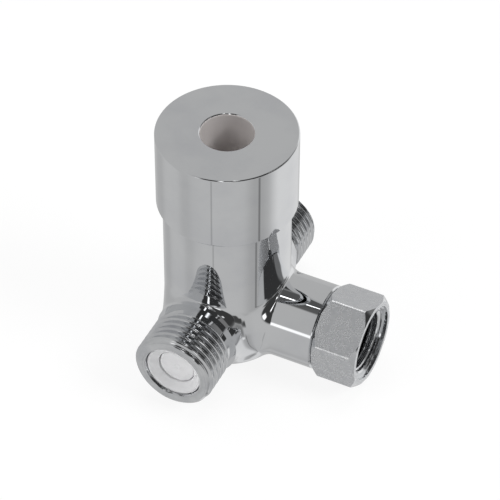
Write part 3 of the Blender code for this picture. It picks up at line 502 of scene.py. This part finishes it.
def makeCasting(s):
    chrome = finishes["polishedChrome"]
    radius, foot, height = s["barrelRadius"], s["footRounding"], s["portHeight"]
    barrel = lathe("castBody", rounded([(0, 0, 0), (radius, 0, foot), (radius, 52, 0), (0, 52, 0)], 8), 128, chrome)
    ports = []
    for axis, portRadius, reach in (("-Y", s["inletRadius"], 20), ("Y", s["inletRadius"], 20),
                                    ("X", s["outletRadius"], 30)):
        ports.append(lathe("port", [(0, 0), (portRadius, 0), (portRadius, reach), (0, reach)], 96, chrome,
                           axis, (0, 0, height)))
    joinInto(barrel, ports)
    remesh = barrel.modifiers.new("remesh", "REMESH")
    remesh.mode = "VOXEL"
    remesh.voxel_size = s["voxel"] * mm
    bake(barrel)

    # open the ends, settle the skin on the filleted form, even it out, and close the ends again
    shape = bmesh.new()
    shape.from_mesh(barrel.data)
    for point, normal in (((0, 0, 50.5), (0, 0, 1)), ((0, -18.6, 0), (0, -1, 0)), ((0, 18.6, 0), (0, 1, 0)),
                          ((28.4, 0, 0), (1, 0, 0))):
        geometry = shape.verts[:] + shape.edges[:] + shape.faces[:]
        bmesh.ops.bisect_plane(shape, geom=geometry, dist=1e-7, plane_co=Vector(point) * mm,
                               plane_no=normal, clear_outer=True)
    shape.verts.ensure_lookup_table()
    points = np.array([vert.co for vert in shape.verts]) / mm
    edge = np.array([vert.is_boundary for vert in shape.verts])
    pairs = np.array([[e.verts[0].index, e.verts[1].index] for e in shape.edges])
    count = np.bincount(pairs.ravel(), minlength=len(points))[:, None]
    points = settleOnField(points, s, 8)
    for _ in range(6):
        total = np.zeros_like(points)
        np.add.at(total, pairs[:, 0], points[pairs[:, 1]])
        np.add.at(total, pairs[:, 1], points[pairs[:, 0]])
        eased = np.where(edge[:, None], points, 0.5 * points + 0.5 * total / count)
        points = settleOnField(eased, s, 2)
    points = settleOnField(points, s, 3)
    for vert, co in zip(shape.verts, points):
        vert.co = co * mm
    bmesh.ops.holes_fill(shape, edges=[e for e in shape.edges if e.is_boundary], sides=0)
    bmesh.ops.recalc_face_normals(shape, faces=shape.faces)
    shape.to_mesh(barrel.data)
    shape.free()

    # bores and trimmed ends
    top, collar, end = s["barrelHeight"], s["collarEnd"], s["outletEnd"]
    chamfer = s["outletChamfer"]
    cutters = [lathe("bore", [(0, 60), (s["glandBore"], 60), (s["glandBore"], s["glandSeat"]),
                              (s["chamberRadius"], s["glandSeat"]), (s["chamberRadius"], s["chamberFloor"]),
                              (0, s["chamberFloor"])], 96, chrome)]
    cutters.append(lathe("topTrim", [(30, 60), (30, top), (0, top), (0, 60)], 8, chrome))
    for axis in ("-Y", "Y"):
        pocket = [(0, 40), (s["pocketRadius"], 40), (s["pocketRadius"], s["pocketFloor"]),
                  (s["passageRadius"], s["pocketFloor"]), (s["passageRadius"], 2), (0, 2)]
        cutters.append(lathe("pocket", pocket, 96, chrome, axis, (0, 0, height)))
        cutters.append(lathe("collarTrim", [(0, 40), (14, 40), (14, collar), (0, collar)], 8, chrome, axis,
                             (0, 0, height)))
    cutters.append(lathe("outletBore", [(0, 40), (s["outletBore"], 40), (s["outletBore"], 2), (0, 2)], 64,
                         chrome, "X", (0, 0, height)))
    rim = s["outletRadius"]
    cutters.append(lathe("outletTrim", [(0, 40), (14, 40), (14, end - chamfer), (rim + 0.001, end - chamfer),
                                        (rim - chamfer, end), (0, end)], 128, chrome, "X", (0, 0, height)))
    boolean(barrel, cutters, "DIFFERENCE")
    giveNormals(barrel, s)
    return barrel


def giveNormals(obj, s):
    # points on the filleted form take its own normals, all others the normal of their face
    mesh = obj.data
    count = len(mesh.vertices)
    points = np.empty(count * 3)
    mesh.vertices.foreach_get("co", points)
    points = points.reshape(-1, 3) / mm
    onForm = np.abs(castingField(points, s)) < 0.004
    slope = fieldSlope(points, s)
    slope /= np.maximum(np.linalg.norm(slope, axis=1), 1e-9)[:, None]
    normals = np.empty((len(mesh.loops), 3))
    corner = np.empty(len(mesh.loops), np.int32)
    mesh.loops.foreach_get("vertex_index", corner)
    for face in mesh.polygons:
        loops = slice(face.loop_start, face.loop_start + face.loop_total)
        ends = corner[loops]
        flat = np.array(face.normal)
        smooth = onForm[ends].all() and (slope[ends] @ flat > 0.7).all()
        normals[loops] = slope[ends] if smooth else flat
    mesh.shade_smooth()
    mesh.normals_split_custom_set([tuple(normal) for normal in normals])


castBody = makeCasting(casting)
settle(castBody, "valve_body", "chrome", "valve_body")
print("cast body:", len(castBody.data.polygons), "faces")

# screw threads

def makeThreadTree():
    # One closed ring with a thread on its outer side (side 1) or its inner side (side -1). Rows of
    # points follow the helix; sizes are in metres along the ring's own Z.
    tree = bpy.data.node_groups.new("screwThread", "GeometryNodeTree")
    face = tree.interface
    face.new_socket("Geometry", in_out="OUTPUT", socket_type="NodeSocketGeometry")
    sizes = ("Side", "Pitch", "Depth", "Crest Radius", "Start", "End", "Start Radius", "Start Width",
             "Run Out", "End Radius", "End Slope", "Wall Radius", "Wall Chamfer", "Sharpness")
    for name in sizes:
        face.new_socket(name, in_out="INPUT", socket_type="NodeSocketFloat")
    for name in ("Facets", "Rows", "Rows Per Turn"):
        face.new_socket(name, in_out="INPUT", socket_type="NodeSocketInt")
    face.new_socket("Finish", in_out="INPUT", socket_type="NodeSocketMaterial")
    given = addNode(tree, "NodeGroupInput").outputs

    def m(operation, a, b=None, c=None, clamp=False):
        out = mathNode(tree, operation, a, b, clamp)
        if c is not None:
            if isinstance(c, bpy.types.NodeSocket):
                tree.links.new(c, out.node.inputs[2])
            else:
                out.node.inputs[2].default_value = c
        return out

    grid = addNode(tree, "GeometryNodeMeshGrid", {"Size X": 1.0, "Size Y": 1.0,
                                                  "Vertices X": m("ADD", given["Facets"], 1),
                                                  "Vertices Y": m("ADD", given["Rows"], 5)})
    split = addNode(tree, "ShaderNodeSeparateXYZ", {0: addNode(tree, "GeometryNodeInputPosition").outputs[0]})
    turn = m("ADD", split.outputs[0], 0.5)
    row = m("ROUND", m("MULTIPLY", m("ADD", split.outputs[1], 0.5), m("ADD", given["Rows"], 4)))

    # height along the thread, held between its two ends
    step = m("DIVIDE", given["Pitch"], given["Rows Per Turn"])
    climb = m("ADD", m("MULTIPLY", row, step), m("MULTIPLY", m("SUBTRACT", turn, 1.0), given["Pitch"]))
    height = m("MINIMUM", m("MAXIMUM", m("ADD", given["Start"], climb), given["Start"]), given["End"])

    # rounded V form: 1 on the crest, 0 in the root
    phase = m("FRACT", m("ADD", m("SUBTRACT", m("DIVIDE", height, given["Pitch"]), turn), 100.0))
    saw = m("ABSOLUTE", m("MULTIPLY_ADD", phase, 2.0, -1.0))
    form = mapNode(tree, saw, given["Sharpness"], m("SUBTRACT", 1.0, given["Sharpness"]), 0.0, 1.0)
    runStart = m("ADD", given["Start"], m("SUBTRACT", given["Start Width"], given["Run Out"]))
    runEnd = m("ADD", given["Start"], m("ADD", given["Start Width"], given["Run Out"]))
    fade = mapNode(tree, height, runStart, runEnd, 0.0, 1.0)
    groove = m("MULTIPLY", m("MULTIPLY", m("SUBTRACT", 1.0, form), given["Depth"]), fade)
    thread = m("SUBTRACT", m("MULTIPLY", given["Side"], given["Crest Radius"]), groove)
    pastNeck = m("MAXIMUM", m("SUBTRACT", height, m("ADD", given["Start"], given["Start Width"])), 0.0)
    neck = m("MULTIPLY_ADD", given["Side"], given["Start Radius"], pastNeck)
    mouth = m("ADD", m("MULTIPLY", given["Side"], given["End Radius"]),
              m("MULTIPLY", m("SUBTRACT", given["End"], height), given["End Slope"]))
    radius = m("MULTIPLY", m("MINIMUM", m("MINIMUM", thread, neck), mouth), given["Side"])

    # the last rows go round the wall and back to the first
    inner = m("MAXIMUM", m("SUBTRACT", row, given["Rows"]), 0.0)
    lip = m("MULTIPLY", given["Side"], given["Wall Chamfer"])
    def pick(values):
        node = addNode(tree, "GeometryNodeIndexSwitch", data_type="FLOAT")
        while len(node.index_switch_items) < len(values):
            node.index_switch_items.new()
        tree.links.new(inner, node.inputs[0])
        for i, value in enumerate(values):
            if isinstance(value, bpy.types.NodeSocket):
                tree.links.new(value, node.inputs[i + 1])
            else:
                node.inputs[i + 1].default_value = value
        return node.outputs[0]
    wall = given["Wall Radius"]
    radius = pick([radius, m("ADD", wall, lip), wall, wall, given["Start Radius"]])
    height = pick([height, given["End"], m("SUBTRACT", given["End"], given["Wall Chamfer"]), given["Start"],
                   given["Start"]])
    angle = m("MULTIPLY", turn, 2 * math.pi)
    place = addNode(tree, "ShaderNodeCombineXYZ", {0: m("MULTIPLY", radius, m("COSINE", angle)),
                                                   1: m("MULTIPLY", radius, m("SINE", angle)), 2: height})
    formed = addNode(tree, "GeometryNodeSetPosition", {"Geometry": grid.outputs["Mesh"],
                                                       "Position": place.outputs[0]})
    merged = addNode(tree, "GeometryNodeMergeByDistance", {"Geometry": formed.outputs[0], "Distance": 2e-6})
    real = addNode(tree, "GeometryNodeRealizeInstances", {0: merged.outputs[0]})
    finish = addNode(tree, "GeometryNodeSetMaterial", {"Geometry": real.outputs[0], "Material": given["Finish"]})
    output = addNode(tree, "NodeGroupOutput")
    tree.links.new(finish.outputs[0], output.inputs[0])
    return tree


threadTree = makeThreadTree()


def makeThread(name, s, material, axis, place):
    # s holds the tree's inputs by name, lengths in mm
    counts = ("Facets", "Rows Per Turn")
    ratios = ("Side", "End Slope", "Sharpness")
    values = {key: value if key in counts + ratios else value * mm for key, value in s.items()}
    rise = values["End"] - values["Start"] + values["Pitch"]
    values["Rows"] = math.ceil(rise / values["Pitch"] * values["Rows Per Turn"]) + 1
    values["Finish"] = material
    obj = bpy.data.objects.new(name, bpy.data.meshes.new(name))
    scene.collection.objects.link(obj)
    threading = obj.modifiers.new("thread", "NODES")
    threading.node_group = threadTree
    for item in threadTree.interface.items_tree:
        if item.in_out == "INPUT":
            threading[item.identifier] = values[item.name]
    bake(obj)
    obj.data.transform(Matrix.Translation(Vector(place) * mm) @ turnTo[axis])
    return cleanMesh(obj, 50)


inletThread = {
    "Side": 1.0, "Pitch": 1.814, "Depth": 1.10, "Crest Radius": 10.48, "Start": 17.2, "End": 30.93,
    "Start Radius": 9.88, "Start Width": 2.7, "Run Out": 0.9, "End Radius": 9.55, "End Slope": 1.0,
    "Wall Radius": 7.5, "Wall Chamfer": 0.12, "Sharpness": 0.10, "Facets": 144, "Rows Per Turn": 14,
}
portPlace = (0, 0, casting["portHeight"])
for side, axis in (("front", "-Y"), ("rear", "Y")):
    thread = makeThread(side + "InletThread", inletThread, finishes["threadChrome"], axis, portPlace)
    settle(thread, "valve_body", "chrome", "valve_body")
print("inlet threads cut:", len(thread.data.polygons), "faces each")

outletNeck = {"radius": 6.0, "bore": 4.2, "start": 27.0, "end": 33.34, "grooveFloor": 5.2,
              "grooveFrom": 30.74, "grooveTo": 31.94, "edge": 0.3}


def makeOutletNeck(s):
    r, g = s["radius"], s["grooveFloor"]
    profile = rounded([(s["bore"], s["end"], 0.2), (r, s["end"], s["edge"]), (r, s["grooveTo"], 0),
                       (g, s["grooveTo"], 0), (g, s["grooveFrom"], 0), (r, s["grooveFrom"], 0),
                       (r, s["start"], 0), (s["bore"], s["start"], 0)])
    neck = lathe("outletNeck", profile, 96, finishes["threadChrome"], "X", portPlace)
    return settle(neck, "valve_body", "chrome", "valve_body")


makeOutletNeck(outletNeck)


# temperature knob
knob = {
    "radius": 17.44, "foot": 45.64, "top": 66.95, "topEdge": 0.40, "footEdge": 0.25,
    "cavity": 16.34, "ceiling": 60.15, "bossRadius": 8.9, "bossFoot": 50.9, "holeRadius": 6.52,
    "holeFloor": 53.5, "holeEdge": 0.55, "square": 6.2, "ribWidth": 1.6, "ribAngle": 56.3,
}


def makeKnob(s):
    r, hole = s["radius"], s["holeRadius"]
    corners = [(hole, s["top"], s["holeEdge"]), (r, s["top"], s["topEdge"]), (r, s["foot"], s["footEdge"]),
               (s["cavity"], s["foot"], 0.15), (s["cavity"], s["ceiling"], 0.5),
               (s["bossRadius"], s["ceiling"], 0.5), (s["bossRadius"], s["bossFoot"], 0.2),
               (0, s["bossFoot"], 0), (0, s["holeFloor"], 0), (hole, s["holeFloor"], 0.3)]
    body = lathe("temperatureKnob", rounded(corners), 256, finishes["polishedChrome"])
    half = s["square"] / 2
    square = boxMesh("square", (-half, -half, s["bossFoot"] - 1), (half, half, s["holeFloor"] + 1),
                     finishes["boredMetal"])
    boolean(body, [square], "DIFFERENCE")
    ribs = []
    for sign in (-1, 1):
        low = (s["bossRadius"] - 1, -s["ribWidth"] / 2, s["bossFoot"])
        high = (s["cavity"] + 0.5, s["ribWidth"] / 2, s["ceiling"] + 1)
        ribs.append(boxMesh("rib", low, high, finishes["polishedChrome"], math.pi + sign * math.radians(s["ribAngle"])))
    joinInto(body, ribs)
    # the bore is left as it was cut, the rest is polished
    mesh = body.data
    if len(mesh.materials) < 2:
        mesh.materials.append(finishes["boredMetal"])
    reach = (hole + s["holeEdge"] * 0.5) * mm
    for face in mesh.polygons:
        x, y, z = face.center
        bored = math.hypot(x, y) < reach and z < (s["top"] - s["holeEdge"] * 0.5) * mm
        face.material_index = 1 if bored else 0
    return settle(body, "knob_and_spool", "chrome", "temperature_knob")


makeKnob(knob)
print("knob turned")


# check valves
checkValve = {
    "face": 30.2, "flange": 7.3, "flangeDepth": 1.4, "outer": 7.05, "dish": 6.75, "seat": 4.85,
    "dishDepth": 1.55, "seatBack": 4.25, "foot": 17.8, "cage": 5.85, "groove": 6.10, "grooveFrom": 2.3,
    "grooveTo": 3.8, "edge": 0.18, "stem": 1.1, "stemEnd": 18.1, "disc": 5.5, "nose": 4.7,
    "noseDip": 0.30, "dimple": 0.8, "dimpleDepth": 0.25,
}


def makeCheckValve(side, axis, s):
    face = s["face"]
    seatFront, seatBack = face - s["dishDepth"], face - s["seatBack"]
    high, low = face - s["grooveFrom"], face - s["grooveTo"]
    back = face - s["flangeDepth"]
    corners = [(s["dish"], face, 0.15), (s["flange"], face, s["edge"]), (s["flange"], back, 0.05),
               (s["outer"], back, 0), (s["outer"], high, 0.08),
               (s["groove"], high, 0), (s["groove"], low, 0), (s["outer"], low, 0.08),
               (s["outer"], s["foot"], 0.2), (s["cage"], s["foot"], 0.1), (s["cage"], seatBack, 0.1),
               (s["seat"], seatBack, 0.1), (s["seat"], seatFront, 0.15)]
    housing = lathe(side + "CheckHousing", rounded(corners, 4), 128, finishes["whitePlastic"], axis, portPlace)
    settle(housing, "valve_body", "white_plastic", side + "_check_housing")
    front = seatFront - s["noseDip"]
    discFront, discBack = seatBack - 0.3, seatBack - 1.5
    corners = [(0, front - s["dimpleDepth"], 0), (s["dimple"], front, 0.3), (s["nose"], front, 0.35),
               (s["nose"], discFront, 0), (s["disc"], discFront, 0.1), (s["disc"], discBack, 0.2),
               (s["stem"], discBack, 0.2), (s["stem"], s["stemEnd"], 0.2), (0, s["stemEnd"], 0)]
    poppet = lathe(side + "CheckPoppet", rounded(corners, 4), 96, finishes["whitePlastic"], axis, portPlace)
    settle(poppet, side + "_poppet", "white_plastic", side + "_check_poppet")


for side, axis in (("front", "-Y"), ("rear", "Y")):
    makeCheckValve(side, axis, checkValve)
print("check valves made")


# union nut
unionNut = {
    "acrossFlats": 21.4, "start": 28.04, "end": 39.8, "cornerRounding": 1.1, "turn": 21.0,
    "rimRadius": 10.9, "rimEdge": 0.12, "coneSlope": 1.05, "collarBore": 6.3,
    "mouthRadius": 9.6, "mouthFloor": 9.5, "mouthDepth": 1.0,
}
nutThread = {
    "Side": -1.0, "Pitch": 1.337, "Depth": 0.85, "Crest Radius": 7.48, "Start": 30.44, "End": 38.9,
    "Start Radius": 8.33, "Start Width": 0.6, "Run Out": 0.5, "End Radius": 8.45, "End Slope": 1.0,
    "Wall Radius": 0.0, "Wall Chamfer": 0.0, "Sharpness": 0.10, "Facets": 120, "Rows Per Turn": 12,
}


def makeUnionNut(s):
    flat = s["acrossFlats"] / 2
    rounding = s["cornerRounding"]
    centre = (flat - rounding) / math.cos(math.pi / 6)
    steps = 6
    ring = []
    for corner in range(6):
        middle = math.radians(60 * corner)
        for step in range(steps + 1):
            angle = middle + math.radians(-30 + 60 * step / steps)
            ring.append((centre * math.cos(middle) + rounding * math.cos(angle),
                         centre * math.sin(middle) + rounding * math.sin(angle)))
    count = len(ring)
    points = [Vector((y, x, s["start"])) * mm for x, y in ring] + [Vector((y, x, s["end"])) * mm for x, y in ring]
    faces = [(i, (i + 1) % count, count + (i + 1) % count, count + i) for i in range(count)]
    faces += [tuple(range(count)), tuple(range(count, 2 * count))]
    nut = addMesh("unionNut", points, faces, finishes["satinNickel"])
    # the middle of each rounded corner gets a lighter colour: a painted highlight along the corners
    nut.data.materials.append(finishes["paintedCornerHighlight"])
    for index in range(count):
        if index % (steps + 1) in (steps // 2 - 1, steps // 2):
            nut.data.polygons[index].material_index = 1
    nut.data.transform(turnTo["X"])
    cleanMesh(nut)

    rim, reach = s["rimRadius"], centre + rounding + 1
    drop = (reach - rim) * s["coneSlope"]
    envelope = rounded([(0, s["end"], 0), (rim, s["end"], s["rimEdge"]), (reach, s["end"] - drop, 0),
                        (reach, s["start"] + drop, 0), (rim, s["start"], s["rimEdge"]), (0, s["start"], 0)], 3, 0.01)
    shell = lathe("envelope", envelope, 144, finishes["threadChrome"], "X")
    boolean(nut, [shell], "INTERSECT")
    thread = makeThread("nutThread", nutThread, finishes["threadChrome"], "X", (0, 0, 0))
    collar = lathe("collarBore", [(0, 32), (s["collarBore"], 32), (s["collarBore"], 20), (0, 20)], 96,
                   finishes["threadChrome"], "X")
    floor = s["end"] - s["mouthDepth"]
    mouth = lathe("mouth", [(0, s["end"] + 1), (s["mouthRadius"] + 0.3, s["end"] + 1), (s["mouthRadius"], s["end"]),
                            (s["mouthFloor"], floor), (0, floor)], 144, finishes["threadChrome"], "X")
    boolean(nut, [thread, collar, mouth], "DIFFERENCE")
    nut.data.transform(Matrix.Translation(Vector(portPlace) * mm) @ Matrix.Rotation(-math.radians(s["turn"]), 4, "X"))
    cleanMesh(nut, 30)
    return settle(nut, "union_nut", "satin_chrome", "union_nut")


nut = makeUnionNut(unionNut)
print("union nut:", len(nut.data.polygons), "faces")


def makeCheckSpring(side):
    node = side + "_check_spring"
    spring = bpy.data.objects.new(side + "CheckSpring", frame["nodes"][node].data.copy())
    bpy.context.scene.collection.objects.link(spring)
    spring.data.materials.clear()
    spring.data.materials.append(finishes["brightSteel"])
    settle(spring, "valve_body", "steel", node)
    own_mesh(spring)
    return spring


for side, way in (("front", -1), ("rear", 1)):
    makeCheckSpring(side)
print("check springs: 2 pieces")


# carried-over pieces
carried = {
    "brightSteel": ("knob_screw", "circlip", "stop_pin", "nut_retaining_ring"),
    "turnedBrass": ("spindle", "gland_nut"),
    "greyPlastic": ("mixing_spool",),
    "whitePlastic": ("thrust_washer", "front_check_guide", "rear_check_guide"),
    "blackRubber": ("gland_oring", "spindle_oring_lower", "spindle_oring_upper", "front_check_oring",
                    "rear_check_oring", "union_washer"),
}
for finish, names in carried.items():
    for name in names:
        piece = frame["nodes"][name]
        for slot in piece.material_slots:
            slot.link = "OBJECT"
            slot.material = finishes[finish]
        if not piece.material_slots:
            piece.data.materials.append(finishes[finish])
print("carried-over pieces finished")
